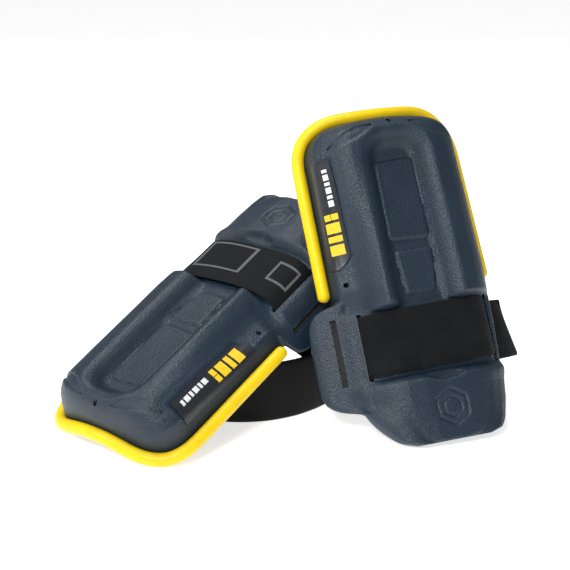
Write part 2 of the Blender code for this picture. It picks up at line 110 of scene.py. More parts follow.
# The channel between the ridges: millimetres out from its floor's outline, and its bank's height.
CHANNEL_BANK = ((0, 31.5), (1.2, 33), (3.2, 33.6), (5, 35.6), (8, 39), (12, 42.3), (17, 44.4), (24, 46))
CHANNEL_HALF = (15.8, 17.8)
CHANNEL_TOP = 152.5
CHANNEL_CORNER = 10.0
WAIST_SECTION = ((0, 33), (0.3, 33), (0.5, 32), (0.65, 30), (0.76, 28), (0.82, 27.5), (0.9, 25),
                 (0.95, 23), (1, 16))
TAIL_SECTION = ((0, 44), (0.3, 44), (0.5, 42.5), (0.7, 39), (0.85, 34.5), (0.95, 30), (1, 25))
KNEE_HOLLOW = ((0, 24), (0.4, 24), (0.6, 21), (0.72, 15), (0.82, 5), (0.88, -1), (1, -2))
WAIST_HOLLOW = ((0, 24), (0.4, 23), (0.6, 19), (0.75, 14), (0.88, 9), (1, 3))
TAIL_HOLLOW = ((0, 35), (0.3, 34.5), (0.5, 33), (0.7, 29.5), (0.85, 25), (1, 18))
LEFT_SIDE = ((-92, 32), (-89, 42), (-86, 47), (-79, 53), (-70, 60), (-61, 64), (-50, 66), (42, 67))
RIGHT_SIDE = ((-92, 32), (-89, 43), (-84, 49), (-67, 56), (-45, 62), (-10, 64), (20, 65), (42, 66),
              (KNEE_TOP - TOP_CORNER_RADIUS, 63))
EDGE_LIFT = ((-92, 11), (-84, 6), (-70, 2), (-50, -3), (-30, 0))
LEFT_EDGE_LIFT = ((-92, 11), (-84, 6), (-70, 1), (-61, -3), (-54, -7), (-45, -7), (-30, -6), (30, -6),
                  (40, 0))

# What is moulded into the front, as outlines in X and Y.
UPPER_PANEL = ((-16.5, 142), (14.5, 143.5), (15.7, 73.5), (-17, 74.5))
LOWER_PANEL = ((-15.7, 66), (16.2, 66.5), (13.3, 29.5), (-13, 29.2))
PANEL_CORNER = 4.0
PANEL_RISE = 1.2
LABEL_INNER = ((56, -50.5), (150, -55.5))
LABEL_OUTER = -69.5
LABEL_WIDTH = 21.0
LABEL_ENDS = (59.0, 149.0)
LABEL_CUT = 9.0
LABEL_RECESS = 1.15
# How far to each side the face's slope is read under the label.
LABEL_SLOPE_REACH = 1.5
# The marks on the label, as shares of its length.
BLOCKS_START = 0.13
BLOCK_LENGTHS = (0.095, 0.055, 0.095, 0.055)
BLOCK_GAP = 0.026
DASHES_START = 0.575
DASH_LENGTHS = (0.055, 0.03, 0.055, 0.03, 0.055, 0.03)
DASH_GAP = 0.018
# The emblem's two hexagons: radius, corner radius, and the groove's depth and half width.
EMBLEM_CENTRE = (0.5, -66.0)
EMBLEM_OUTER = (15.0, 2.0, 1.3, 1.0)
EMBLEM_INNER = (8.5, 1.0, 1.0, 0.9)
EMBLEM_SINK = 0.5
# The pointed recess at each top corner: its middle, the way it runs, and its half length and width.
CORNER_STEP = (36.0, 164.5)
CORNER_WAY = (47.0, -18.0)
CORNER_HALVES = (22.0, 6.0)
CORNER_DEPTH = 1.8
# The finger scoop: its middle, its half sizes, and how high its floor is and its rim above that.
SCOOP_CENTRE = (1.5, -33.5)
SCOOP_HALVES = (21.0, 10.5)
SCOOP_FLOOR = 35.0
SCOOP_RIM = 2.5

# Straps, as in the pad: see band().
SLOT_HEIGHTS = (1, -3)
LYING_SLOT_HEIGHTS = (1, -3, -14)
FOLDED_STRAP = ((67, -7, -9, -4), (87, -6, -16, -9), (95, -5, -24, -10), (87, -3, -33, -8),
                (52, 0, -41, -4), (10, 0, -45, 0), (-28, -2, -40, 0), (-47, -5, -29, 0),
                (-54, -7, -14, 0))
STANDING_TAB = (27, 31)
LYING_TAB = (26, 32)
LOOP_STEPS = 4
FLOOR = -4.5
RING_CENTRE = (-37.0, 1129.0)
RING_TURNS = ((154, 70), (172, 69), (190, 69), (208, 70), (226, 72), (246, 74), (266, 74), (286, 74),
              (306, 74), (322, 75), (334, 77))
RING_RIGHT_DROP = ((-70, 1171, 58), (-78, 1173, 42), (-89, 1166, 29))
RING_LEFT_DROP = ((40, 1099, 27), (38, 1106, 39), (29, 1105, 54))
PATCH_THICKNESS = 1.2
TAB_THICKNESS = 2.0
TAB_WIDTH = 38.0
STATION_STEPS = 4

# The cushions: cloth pressure and steps, how far a point may move and rise, and the seams' places.
VOXEL = 0.0032
PRESSURE = 4.0
CLOTH_STEPS = 20
MOST_MOVE = 0.0028
MOST_RISE = 0.0004
SEAM_HALF = 1.5
SEAM_DEPTH = 1.6
MIDDLE_SEAM_DEPTH = 1.4
SEAMS = {"knee": (66, 84, 102, 120, 138), "shin": (-66, -48, -30, -12)}

# The camera stands where the picture was taken from.
CAMERA_PLACE = (-0.0072, -1.0786, 0.4212)
CAMERA_PITCH = 74.0
CAMERA_LENS = 86.33


# ---------------------------------------------------------------- small tools

def table(pairs, at):
    return np.interp(at, [pair[0] for pair in pairs], [pair[1] for pair in pairs])


def ease(start, end, at):
    """0 before start and 1 after end, with a smooth turn between them."""
    share = np.clip((np.asarray(at, float) - start) / (end - start), 0, 1)
    return share * share * (3 - 2 * share)


def mix(one, other, share):
    return one + (other - one) * share


def outline_distance(x, y, corners, radius=0.0):
    """How far points are outside an outline whose corners are rounded, in millimetres."""
    away = np.full(np.shape(x), 1e9)
    inside = np.zeros(np.shape(x), bool)
    middle = np.mean(corners, axis=0)
    points = [middle + (np.array(corner) - middle) * (1 - radius / np.hypot(*(np.array(corner) - middle)))
              for corner in corners]
    for one, two in zip(points, points[1:] + points[:1]):
        edge = two - one
        share = np.clip(((x - one[0]) * edge[0] + (y - one[1]) * edge[1]) / edge.dot(edge), 0, 1)
        away = np.minimum(away, np.hypot(x - one[0] - share * edge[0], y - one[1] - share * edge[1]))
        crosses = (one[1] > y) != (two[1] > y)
        rise = edge[1] if abs(edge[1]) > 1e-9 else 1e-9
        inside ^= crosses & (x < edge[0] * (y - one[1]) / rise + one[0])
    return np.where(inside, -away, away) - radius * 0.7


def softened(values, passes):
    """A grid of heights with its corners rounded off, ends kept."""
    made = values.copy()
    for turn in range(passes):
        made[1:-1] = (made[:-2] + 2 * made[1:-1] + made[2:]) / 4
        made[:, 1:-1] = (made[:, :-2] + 2 * made[:, 1:-1] + made[:, 2:]) / 4
    return made


def linked(name, data):
    """A new object in the scene."""
    obj = bpy.data.objects.new(name, data)
    bpy.context.scene.collection.objects.link(obj)
    return obj


def new_object(name, points, faces, smooth_angle=50):
    """A mesh object from points in its own units, shaded smooth except at sharp edges."""
    mesh = bpy.data.meshes.new(name)
    mesh.from_pydata([tuple(point) for point in points], [], [tuple(face) for face in faces])
    mesh.update()
    obj = linked(name, mesh)
    shade(obj, smooth_angle)
    return obj


def shade(obj, angle=50):
    obj.data.polygons.foreach_set("use_smooth", [True] * len(obj.data.polygons))
    obj.data.set_sharp_from_angle(angle=math.radians(angle))


def apply_modifiers(obj):
    bpy.context.view_layer.update()
    graph = bpy.context.evaluated_depsgraph_get()
    mesh = bpy.data.meshes.new_from_object(obj.evaluated_get(graph))
    obj.modifiers.clear()
    obj.data = mesh


def face_outward(obj, weld_distance=0.0):
    """Points a closed mesh's faces outward, after joining the points that lie together."""
    bm = bmesh.new()
    bm.from_mesh(obj.data)
    if weld_distance:
        bmesh.ops.remove_doubles(bm, verts=bm.verts[:], dist=weld_distance)
    bmesh.ops.recalc_face_normals(bm, faces=bm.faces[:])
    if bm.calc_volume(signed=True) < 0:
        bmesh.ops.reverse_faces(bm, faces=bm.faces[:])
    bm.to_mesh(obj.data)
    bm.free()


def pad_matrix(kind):
    """From the pad's own millimetres to the row frame's metres."""
    x = Vector(PAD_AXES[kind][0]).normalized()
    y = Vector(PAD_AXES[kind][1])
    y = (y - x * y.dot(x)).normalized()
    turn = Matrix((x, y, x.cross(y))).transposed().to_4x4()
    return Matrix.Translation(Vector(PAD_ORIGIN[kind])) @ turn @ Matrix.Scale(MM, 4)


def finish_piece(obj, kind, material, node=None, body="pad"):
    """Stands a piece of a pad in the row frame and says what it is."""
    obj.data.transform(pad_matrix(kind))
    obj.data.update()
    obj.data.materials.clear()
    obj.data.materials.append(material)
    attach(obj, kind + "_" + body)
    if node:
        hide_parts(node)
    return obj


# ---------------------------------------------------------------- the shell's surface

def half_width(side, y):
    """The pad's half width, with the outline's own corners eased."""
    width = sum(table(side, y + step) for step in (-3, -1.5, 0, 1.5, 3)) / 5
    width = np.where(y < TAIL_END + 6, table(side, y), width)
    into = np.clip(y - (KNEE_TOP - TOP_CORNER_RADIUS), 0, TOP_CORNER_RADIUS)
    return width - (TOP_CORNER_RADIUS - np.sqrt(TOP_CORNER_RADIUS ** 2 - into ** 2))


def sided_half_width(u, y):
    return np.where(u < 0, half_width(LEFT_SIDE, y), half_width(RIGHT_SIDE, y))


def rim_rise(u, y):
    """How far the edge arches forward across the top of the knee end."""
    return RIM_ARCH * ease(150, 180, y) * (1 - u * u)


def edge_lift(u, y):
    lift = np.where(u < 0, table(LEFT_EDGE_LIFT, y), table(EDGE_LIFT, y))
    return lift * ease(0.5, 1, np.abs(u))


def sections(u, y, knee, waist, tail):
    """The waist's section, turning into the knee's above it and the tail's below it."""
    side = np.abs(u)
    value = mix(table(waist, side), knee, ease(*WAIST_TO_KNEE, y))
    return value + (table(tail, side) - table(waist, side)) * (1 - ease(*TAIL_TO_WAIST, y))


def channel_height(x, y):
    """The channel's floor and banks. The corners of its knee end are rounded."""
    half = mix(CHANNEL_HALF[0], CHANNEL_HALF[1], (150 - y) / 130)
    out = np.abs(x) - half + CHANNEL_CORNER
    up = y - CHANNEL_TOP + CHANNEL_CORNER
    away = np.hypot(np.maximum(out, 0), np.maximum(up, 0)) - CHANNEL_CORNER
    return table(CHANNEL_BANK, away)


def front_height(u, y):
    """The front face before anything is moulded into it."""
    lower = table(LOWER_BANK, -u)
    left = mix(lower, table(UPPER_BANK, -u), ease(50, 150, y))
    knee = np.where(u < 0, left, table(KNEE_SECTION, u))
    knee = np.minimum(knee, channel_height(u * SIDE_REACH, y))
    height = sections(u, y, knee, WAIST_SECTION, TAIL_SECTION)
    height = height + edge_lift(u, y)
    rim = 3.0 + 8.0 * ease(152, 176, y) + rim_rise(u, y)
    fall = np.clip((y - FALL_START) / (KNEE_TOP - FALL_START), 0, 1) ** FALL_POWER
    return np.where(y > FALL_START, rim + (height - rim) * (1 - fall), height)


def back_height(u, y):
    """The hollow face."""
    height = sections(u, y, table(KNEE_HOLLOW, np.abs(u)), WAIST_HOLLOW, TAIL_HOLLOW)
    height = height + edge_lift(u, y)
    rim = -2.0 + rim_rise(u, y)
    height = np.where(y > 146, rim + (height - rim) * (1 - ease(146, 176, y)), height)
    front = front_height(u, y)
    height = np.minimum(height, front - THICKNESS)
    lip = 1 - ease(TAIL_END, -76, y)
    height = height + (front - LIP_THICKNESS - height) * lip
    return np.minimum(height, front - LEAST_THICKNESS * (1 - lip) - LIP_THICKNESS * lip)


def lens(x, y, centre, along, half_length, half_across):
    """1 on the middle line of a pointed lens shape, falling to 0 at its edge."""
    way = np.array(along) / np.hypot(*along)
    length = (x - centre[0]) * way[0] + (y - centre[1]) * way[1]
    across = -(x - centre[0]) * way[1] + (y - centre[1]) * way[0]
    room = half_across * (1 - (np.clip(length / half_length, -1, 1)) ** 2)
    return np.clip(1 - np.abs(across) / np.maximum(room, 1e-6), 0, 1) * (np.abs(length) < half_length)


def groove(distance, depth, half):
    return -depth * np.exp(-(distance / half) ** 2)


def hexagon(radius):
    x, y = EMBLEM_CENTRE
    turns = [math.radians(60 * k + 30) for k in range(6)]
    return [(x + radius * math.cos(turn), y + radius * math.sin(turn)) for turn in turns]


def moulded_detail(x, y):
    """Panels, corner steps and the emblem, as a change of height."""
    change = np.zeros(np.shape(x))
    for panel in (UPPER_PANEL, LOWER_PANEL):
        away = outline_distance(x, y, panel, PANEL_CORNER)
        change += PANEL_RISE * (1 - ease(-1.6, 0.2, away)) + groove(away - 0.9, 0.7, 0.9)
    for side in (-1, 1):
        away = lens(x, y, (CORNER_STEP[0] * side, CORNER_STEP[1]), (CORNER_WAY[0] * side, CORNER_WAY[1]),
                    CORNER_HALVES[0], CORNER_HALVES[1])
        change -= CORNER_DEPTH * ease(0.0, 0.45, away)
    for radius, corner, depth, half in (EMBLEM_OUTER, EMBLEM_INNER):
        away = outline_distance(x, y, hexagon(radius), corner)
        sink = EMBLEM_SINK * (1 - ease(-2, 0, away)) if radius == EMBLEM_OUTER[0] else 0
        change += groove(away, depth, half) - sink
    return change


def label_distance(x, y):
    """How far points are outside the label's outline, one of whose corners is cut off."""
    inner = table(LABEL_INNER, y)
    away = np.maximum(x - inner, LABEL_OUTER - x)
    away = np.maximum(away, np.maximum(LABEL_ENDS[0] - y, y - LABEL_ENDS[1]))
    cut = ((x - inner) + (LABEL_ENDS[0] + LABEL_CUT - y)) / math.sqrt(2)
    return np.maximum(away, cut)


def finger_scoop(x, y, height):
    """A hollow under the strap's lower edge, where a finger lifts it."""
    away = np.hypot((x - SCOOP_CENTRE[0]) / SCOOP_HALVES[0], (y - SCOOP_CENTRE[1]) / SCOOP_HALVES[1])
    floor = SCOOP_FLOOR + SCOOP_RIM * np.clip(away, 0, 1)
    return mix(height, np.minimum(height, floor), 1 - ease(0.78, 1.0, away))


def shell_columns():
    """Places across the body: the share of the half width, and beyond EAR_ROOT the way out."""
    inner = -EAR_ROOT / SIDE_REACH
    edge = np.linspace(0.88, 1.0, EDGE_COLUMNS)
    body = np.concatenate([np.linspace(inner, edge[0], BODY_COLUMNS), edge[1:]])
    ear = np.linspace(1, 0, EAR_COLUMNS + 1)[:-1]
    return body, ear, inner


def shell_surface(kind):
    """X, Y, front Z and back Z over the shell's own grid, in the pad's millimetres."""
    body_u, ear_s, inner = shell_columns()
    rows = np.linspace(TAIL_END, KNEE_TOP, GRID_ROWS)
    u = np.concatenate([inner - (1 + inner) * ear_s, body_u])
    u, y = np.meshgrid(u, rows)
    x = u * sided_half_width(u, y)
    front = softened(front_height(u, y), 2)
    back = softened(back_height(u, y), 2)
    bank = (x > -80) & (y > 50) & (y < FALL_START)
    away = label_distance(x, y)
    front -= np.where(bank, LABEL_RECESS * (1 - ease(0.1, 0.9, away)), 0)
    front += np.where(bank, 0.35 * np.exp(-((away - 1.9) / 1.1) ** 2), 0)
    front = finger_scoop(x, y, front)
    front += moulded_detail(x, y)
    for slot_x in (-LEFT_SLOT_X, SLOT_X):
        edge = np.hypot(np.clip(np.abs(x - slot_x) - 2.2, 0, 99),
                        np.clip(np.abs(y - STRAP_CENTRE_Y) - SLOT_LENGTH / 2, 0, 99))
        front -= 1.1 * np.exp(-(edge / 1.6) ** 2)
    front += 0.12 * np.sin(x * 0.21 + 1.3 * np.sin(y * 0.05)) * np.sin(y * 0.083 + x * 0.03)

    # The ear's strip of columns leaves the body's edge and follows the ear's curve.
    count = len(ear_s)
    out = np.tile(ear_s, (len(rows), 1))
    steps = table(EAR_REACH, rows)[:, None]
    place = out * steps
    curve = np.array(EAR_CURVE[kind], float)
    index = np.arange(len(curve))
    cx, cz = (np.interp(place, index, curve[:, k]) for k in (0, 1))
    dx, dz = (np.interp(place + 0.35, index, curve[:, k]) - np.interp(place - 0.35, index, curve[:, k])
              for k in (0, 1))
    length = np.maximum(np.hypot(dx, dz), 1e-6)
    nx, nz = dz / length, -dx / length
    thick = EAR_HALF * np.sqrt(np.clip(1 - np.clip((out - 0.86) / 0.14, 0, 1) ** 2, 0.02, 1))
    root_fade = 1 - ease(0.0, 0.4, out)
    start_front = front[:, count:count + 1]
    start_back = back[:, count:count + 1]
    root = curve[0]
    ear_front_x = cx + nx * thick
    ear_front = cz + nz * thick + (start_front - root[1] - EAR_HALF) * root_fade
    ear_back_x = cx - nx * thick
    ear_back = cz - nz * thick + (start_back - root[1] + EAR_HALF) * root_fade
    weight = ease(1.0, 2.6, steps) * ease(0, 0.12, out)
    near = slice(0, count)
    x_front, x_back = x.copy(), x.copy()
    bulge = ease(50, 62, y) * (1 - ease(150, 172, y)) * ease(-0.86, -0.95, u) * (1 - ease(-0.97, -1.0, u))
    x_front -= BANK_BULGE * bulge
    x_front[:, near] = mix(x[:, near], ear_front_x, weight)
    x_back[:, near] = mix(x[:, near], ear_back_x, weight)
    front[:, near] = mix(front[:, near], ear_front, weight)
    back[:, near] = mix(back[:, near], ear_back, weight)
    blended = count + 4
    for grid in (x_front, x_back, front, back):
        grid[:, :blended] = softened(grid[:, :blended + 1], 2)[:, :blended]

    # Round the thin lips off at the outline.
    end = np.minimum(y - TAIL_END, 99)
    sides = np.minimum((1 - np.abs(u)) * 62, 99)
    sides = np.where((y < -36) | (y > 34), sides, 99)
    lip = np.clip(np.minimum(end, sides) / 2.2, 0, 1)
    roundness = np.sqrt(1 - (1 - lip) ** 2) * 0.9 + 0.1
    middle, half = (front + back) / 2, np.maximum((front - back) / 2, 0.4)
    tight = np.where(half < 6, roundness, 1)
    front, back = middle + half * tight, middle - half * tight
    return x_front, x_back, y, front, back


def grid_faces(rows, columns, first=0, flip=False):
    """Quads over a grid of points, counted row by row."""
    start = (np.arange(rows - 1)[:, None] * columns + np.arange(columns - 1)[None, :]).ravel() + first
    quads = np.stack([start, start + 1, start + columns + 1, start + columns], axis=1)
    return quads[:, ::-1] if flip else quads


def rim_faces(rows, columns):
    """The strip that joins a front grid to a back grid round their edge."""
    lower = [(0, c) for c in range(columns)]
    right = [(r, columns - 1) for r in range(1, rows)]
    upper = [(rows - 1, c) for c in range(columns - 2, -1, -1)]
    left = [(r, 0) for r in range(rows - 2, 0, -1)]
    ring = [r * columns + c for r, c in lower + right + upper + left]
    behind = rows * columns
    return [(ring[k], ring[k] + behind, ring[(k + 1) % len(ring)] + behind, ring[(k + 1) % len(ring)])
            for k in range(len(ring))]


def closed_grid(name, front_points, back_points, rows, columns, smooth_angle=50):
    points = np.concatenate([front_points.reshape(-1, 3), back_points.reshape(-1, 3)])
    faces = np.concatenate([grid_faces(rows, columns), grid_faces(rows, columns, rows * columns, True),
                            np.array(rim_faces(rows, columns))])
    return new_object(name, points, faces.tolist(), smooth_angle)


def cutter_box(name, size, place, turn=0.0, rounding=1.6):
    bpy.ops.mesh.primitive_cube_add(size=1)
    box = bpy.context.object
    box.name = name
    box.data.transform(Matrix.Diagonal((*size, 1)))
    bevel = box.modifiers.new("corners", "BEVEL")
    bevel.width = rounding
    bevel.segments = 3
    apply_modifiers(box)
    box.data.transform(Matrix.Translation(Vector(place)) @ Matrix.Rotation(turn, 4, "Y"))
    return box


def cutter_round(name, radius, place):
    bpy.ops.mesh.primitive_cylinder_add(vertices=24, radius=radius, depth=90)
    pin = bpy.context.object
    pin.name = name
    pin.data.transform(Matrix.Translation(Vector((*place, 20))))
    return pin


def cut_out(obj, cutters):
    for cutter in cutters:
        step = obj.modifiers.new(cutter.name, "BOOLEAN")
        step.operation = "DIFFERENCE"
        step.solver = "MANIFOLD"
        step.object = cutter
    apply_modifiers(obj)
    for cutter in cutters:
        bpy.data.objects.remove(cutter)


def ear_slot_place(kind):
    """Where the ear's own slot crosses it, and the angle that turns a cutter to it."""
    spine = [Vector(point) for point in EAR_CURVE[kind]]
    left = EAR_SLOT_REACH
    for one, two in zip(spine, spine[1:]):
        step = two - one
        if step.length > left:
            break
        left -= step.length
    way = step.normalized()
    spot = one + way * left
    return (spot.x, STRAP_CENTRE_Y, spot.y), math.atan2(way.y, -way.x)


def slot_shade_sheet(kind, material):
    """A dark sheet in the pile's look at the bottom of the ear's slot: painted shade for the slot's dark
    inside.
    """
    (x, y, z), turn = ear_slot_place(kind)
    shade_sheet = cutter_box("ear_slot_shade_sheet_" + kind, (5.1, SLOT_LENGTH - 0.4, 0.7), (0, 0, 0), 0.0, 0.25)
    shade_sheet.data.transform(Matrix.Translation((x, y, z)) @ Matrix.Rotation(turn, 4, "Y")
                          @ Matrix.Translation((0, 0, -1.7)))
    return finish_piece(shade_sheet, kind, material)


def shell(kind, surface, material):
    x_front, x_back, y, front, back = surface
    rows, columns = y.shape
    obj = closed_grid("foam_shell_" + kind, np.stack([x_front, y, front], axis=2),
                      np.stack([x_back, y, back], axis=2), rows, columns)
    place, turn = ear_slot_place(kind)
    cutters = [cutter_box("slot_" + side, (SLOT_WIDTHS[side], SLOT_LENGTH, 70), (x, STRAP_CENTRE_Y, 15))
               for side, x in (("left", -LEFT_SLOT_X), ("right", SLOT_X))]
    cutters.append(cutter_box("slot_ear", (SLOT_WIDTHS["ear"], SLOT_LENGTH, 14), place, turn))
    cutters += [cutter_round("hole_" + name, HOLE_RADIUS, spot) for name, spot in HOLES.items()]
    cut_out(obj, cutters)
    shade(obj, 42)
    return finish_piece(obj, kind, material, "shell_" + kind)


class Surface:
    """Looks up the front face at a place."""

    def __init__(self, surface):
        self.x = surface[0]
        self.z = surface[3]
        self.rows = surface[2][:, 0]

    def row_at(self, y):
        """The row below a place, and the share of the way to the next row."""
        at = np.clip(np.interp(y, self.rows, np.arange(len(self.rows))), 0, len(self.rows) - 1.001)
        return int(at), at - int(at)

    def height(self, x, y):
        row, share = self.row_at(y)
        low = np.interp(x, self.x[row], self.z[row])
        high = np.interp(x, self.x[row + 1], self.z[row + 1])
        return mix(low, high, share)

    def outward(self, start_x, y, distance, lift):
        """The place reached by going out to the left over the face, lifted off it."""
        row, share = self.row_at(y)
        line_x = mix(self.x[row], self.x[row + 1], share)
        line_z = mix(self.z[row], self.z[row + 1], share)
        last = np.nonzero(line_x < start_x)[0][-1]
        path_x = np.concatenate([[start_x], line_x[last::-1]])
        path_z = np.concatenate([[self.height(start_x, y)], line_z[last::-1]])
        length = np.concatenate([[0], np.cumsum(np.hypot(np.diff(path_x), np.diff(path_z)))])
        spots = [(np.interp(reach, length, path_x), np.interp(reach, length, path_z))
                 for reach in (distance - LABEL_SLOPE_REACH, distance, distance + LABEL_SLOPE_REACH)]
        run, rise = spots[2][0] - spots[0][0], spots[2][1] - spots[0][1]
        size = math.hypot(run, rise)
        return (spots[1][0] + lift * rise / size, y, spots[1][1] - lift * run / size)


# ---------------------------------------------------------------- bead and label

def bead_side(side, sign):
    """Half of the bead's path, from its lower end to the middle of the top."""
    offset = BEAD_RADIUS + GAP
    points = [(float(table(side, y)) + offset, y) for y in np.linspace(RIM_END, 147, 22)]
    centre_y = KNEE_TOP - TOP_CORNER_RADIUS
    centre_x = float(table(side, centre_y)) - TOP_CORNER_RADIUS
    reach = TOP_CORNER_RADIUS + offset
    for turn in np.radians(np.linspace(0, 90, 16)):
        points.append((centre_x + reach * math.cos(turn), centre_y + reach * math.sin(turn)))
    points += [(x, KNEE_TOP + offset) for x in np.linspace(centre_x, 0, 12)[1:]]
    return [(sign * x, y) for x, y in points]


def rim_bead(kind, material):
    path = bead_side(LEFT_SIDE, -1) + bead_side(RIGHT_SIDE, 1)[::-1][1:]
    curve = bpy.data.curves.new("rim_bead_path", "CURVE")
    curve.dimensions = "3D"
    curve.bevel_depth = BEAD_RADIUS + BEAD_PROUD
    curve.bevel_resolution = 5
    curve.use_fill_caps = True
    spline = curve.splines.new("POLY")
    ends = 5
    spine = []
    for x, y in path:
        spine.append((x, y, float(rim_rise(min(abs(x) / 63.0, 1), min(y, KNEE_TOP)))))
    spine = np.array(spine)
    for turn in range(6):
        spine[1:-1] = (spine[:-2] + 2 * spine[1:-1] + spine[2:]) / 4
    points = [(point, 1.0) for point in spine]
    for end, step in ((0, 1), (-1, -1)):
        start, back = spine[end], spine[end] - spine[end + step]
        back = back / np.linalg.norm(back)
        caps = []
        for k in range(1, ends + 1):
            turn = math.pi / 2 * k / ends
            caps.append((start + back * BEAD_RADIUS * 0.9 * math.sin(turn), max(math.cos(turn), 0.08)))
        points = caps[::-1] + points if end == 0 else points + caps
    spline.points.add(len(points) - 1)
    for spot, (point, size) in zip(spline.points, points):
        spot.co = (*point, 1)
        spot.radius = size
    source = linked("rim_bead_source", curve)
    bpy.context.view_layer.update()
    graph = bpy.context.evaluated_depsgraph_get()
    mesh = bpy.data.meshes.new_from_object(source.evaluated_get(graph))
    bpy.data.objects.remove(source)
    obj = linked("edge_bead_" + kind, mesh)
    face_outward(obj, 0.01)
    shade(obj, 60)
    return finish_piece(obj, kind, material, "rim_bead_" + kind)


def label_point(surface, share_along, share_across, lift):
    """A point on the label: shares of the way up it, and of the way in from its outer edge."""
    y = mix(LABEL_ENDS[0] + 0.5, LABEL_ENDS[1] - 0.5, share_along)
    inner = float(table(LABEL_INNER, y)) - 0.5
    return surface.outward(inner, y, LABEL_WIDTH * (1 - share_across), lift)


def label_patch(name, surface, spans, bottom, top):
    """Closed flat shapes on the label, each (along from, to, across from, to, cut at one corner)."""
    points, faces, first = [], [], 0
    for low, high, outer, inner, corner in spans:
        rows = max(2, int((high - low) * 60)) + 1
        columns = max(2, int((inner - outer) * 14)) + 1
        front = np.zeros((rows, columns, 3))
        back = np.zeros((rows, columns, 3))
        for r in range(rows):
            along = mix(low, high, r / (rows - 1))
            reach = inner - corner * max(0.0, 1 - r / (rows - 1) * (high - low) / 0.1)
            for c in range(columns):
                across = mix(outer, reach, c / (columns - 1))
                front[r, c] = label_point(surface, along, across, top)
                back[r, c] = label_point(surface, along, across, bottom)
        points += [front.reshape(-1, 3), back.reshape(-1, 3)]
        faces += [grid_faces(rows, columns, first), grid_faces(rows, columns, first + rows * columns, True),
                  np.array(rim_faces(rows, columns)) + first]
        first += 2 * rows * columns
    return new_object(name, np.concatenate(points), np.concatenate(faces).tolist(), 40)


def label_spans(place, lengths, gap, outer, inner):
    """A row of marks up the label, from place on."""
    spans = []
    for length in lengths:
        spans.append((place, place + length, outer, inner, 0.0))
        place += length + gap
    return spans


def label(kind, surface, plate_look, bright_look, pale_look):
    plate = label_patch("label_" + kind, surface, [(0, 1, 0, 1, 0.55)], 0.12, 1.05)
    finish_piece(plate, kind, plate_look, "label_plate_" + kind)
    blocks = label_spans(BLOCKS_START, BLOCK_LENGTHS, BLOCK_GAP, 0.3, 0.86)
    marks = label_patch("label_blocks_" + kind, surface, blocks, 1.0, 1.2)
    finish_piece(marks, kind, bright_look)
    dashes = label_spans(DASHES_START, DASH_LENGTHS, DASH_GAP, 0.58, 0.8)
    lines = label_patch("label_dashes_" + kind, surface, dashes, 1.0, 1.18)
    finish_piece(lines, kind, pale_look)


# ---------------------------------------------------------------- straps

def smooth_path(points, steps):
    """Points along a smooth curve through the given points."""
    rows = np.array(points, float)
    padded = np.vstack([2 * rows[0] - rows[1], rows, 2 * rows[-1] - rows[-2]])
    made = []
    for i in range(len(rows) - 1):
        a, b, c, d = padded[i:i + 4]
        for k in range(steps):
            t = k / steps
            made.append(0.5 * (2 * b + (c - a) * t + (2 * a - 5 * b + 4 * c - d) * t * t
                               + (3 * b - a - 3 * c + d) * t ** 3))
    made.append(rows[-1])
    return made


def band(name, stations, width, thickness, steps, lift=0.0, across=24, stretch=None, ripple=0.0):
    """A woven band along stations, each its centre and the way that its width runs.

    Its long edges are rounded, and its UVs run in metres along it and across it.
    """
    path = smooth_path([(*centre, *way) for centre, way in stations], steps)
    places = [Vector(row[:3]) for row in path]
    first, last = stretch or (0, len(path) - 1)
    front, back, along = [], [], [0.0]
    for i in range(first, last + 1):
        ahead = (places[min(i + 1, len(path) - 1)] - places[max(i - 1, 0)]).normalized()
        way = Vector(path[i][3:])
        way = (way - ahead * way.dot(ahead)).normalized()
        out = ahead.cross(way)
        if i > first:
            along.append(along[-1] + (places[i] - places[i - 1]).length)
        top, bottom = [], []
        for k in range(across + 1):
            share = k / across - 0.5
            edge = min(0.5 - abs(share), 0.5) * width
            half = thickness / 2 * math.sqrt(max(1 - max(0.0, 1 - edge / (thickness * 0.5)) ** 2, 0.09))
            wave = ripple * math.sin(along[-1] * 0.09 + share * 3.0) * (0.5 + abs(share))
            spot = places[i] + out * (lift + wave) + way * (share * width)
            top.append(spot + out * half)
            bottom.append(spot - out * half)
        front.append(top)
        back.append(bottom)
    rows, columns = len(front), across + 1
    obj = closed_grid(name, np.array([[tuple(p) for p in line] for line in back]),
                      np.array([[tuple(p) for p in line] for line in front]), rows, columns, 60)
    layer = obj.data.uv_layers.new(name="weave")
    count = rows * columns
    for loop in obj.data.loops:
        index = loop.vertex_index % count
        layer.data[loop.index].uv = (along[index // columns] * MM,
                                     ((index % columns) / across - 0.5) * width * MM)
    face_outward(obj)
    return obj


def leaning(stations):
    """Stations (x, y, z, lean) as centres and width ways: lean tips the width off Y, towards X."""
    made = []
    for x, y, z, lean in stations:
        tip = math.radians(lean)
        made.append((Vector((x, y, z)), Vector((math.sin(tip), math.cos(tip), 0))))
    return made


def front_stations():
    left = [(-LEFT_SLOT_X, 3.6), (-LEFT_SLOT_X, 14), (-LEFT_SLOT_X + 0.8, 24), (-46, 32.3), (-25, 37)]
    right = [(25, 37), (45, 33), (SLOT_X - 1, 25), (SLOT_X, 14), (SLOT_X, 3.6)]
    return leaning([(x, STRAP_CENTRE_Y + STRAP_SLANT * (0.5 + x / 111), z, -1.2)
                    for x, z in left + [(0, 38)] + right])


def unit_mix(one, other, share):
    return (one * (1 - share) + other * share).normalized()


def standing_loop():
    right = [(SLOT_X, STRAP_CENTRE_Y, z, 0) for z in SLOT_HEIGHTS]
    left = [(-SLOT_X, STRAP_CENTRE_Y, z, 0) for z in reversed(SLOT_HEIGHTS)]
    return leaning(right + list(FOLDED_STRAP) + left)


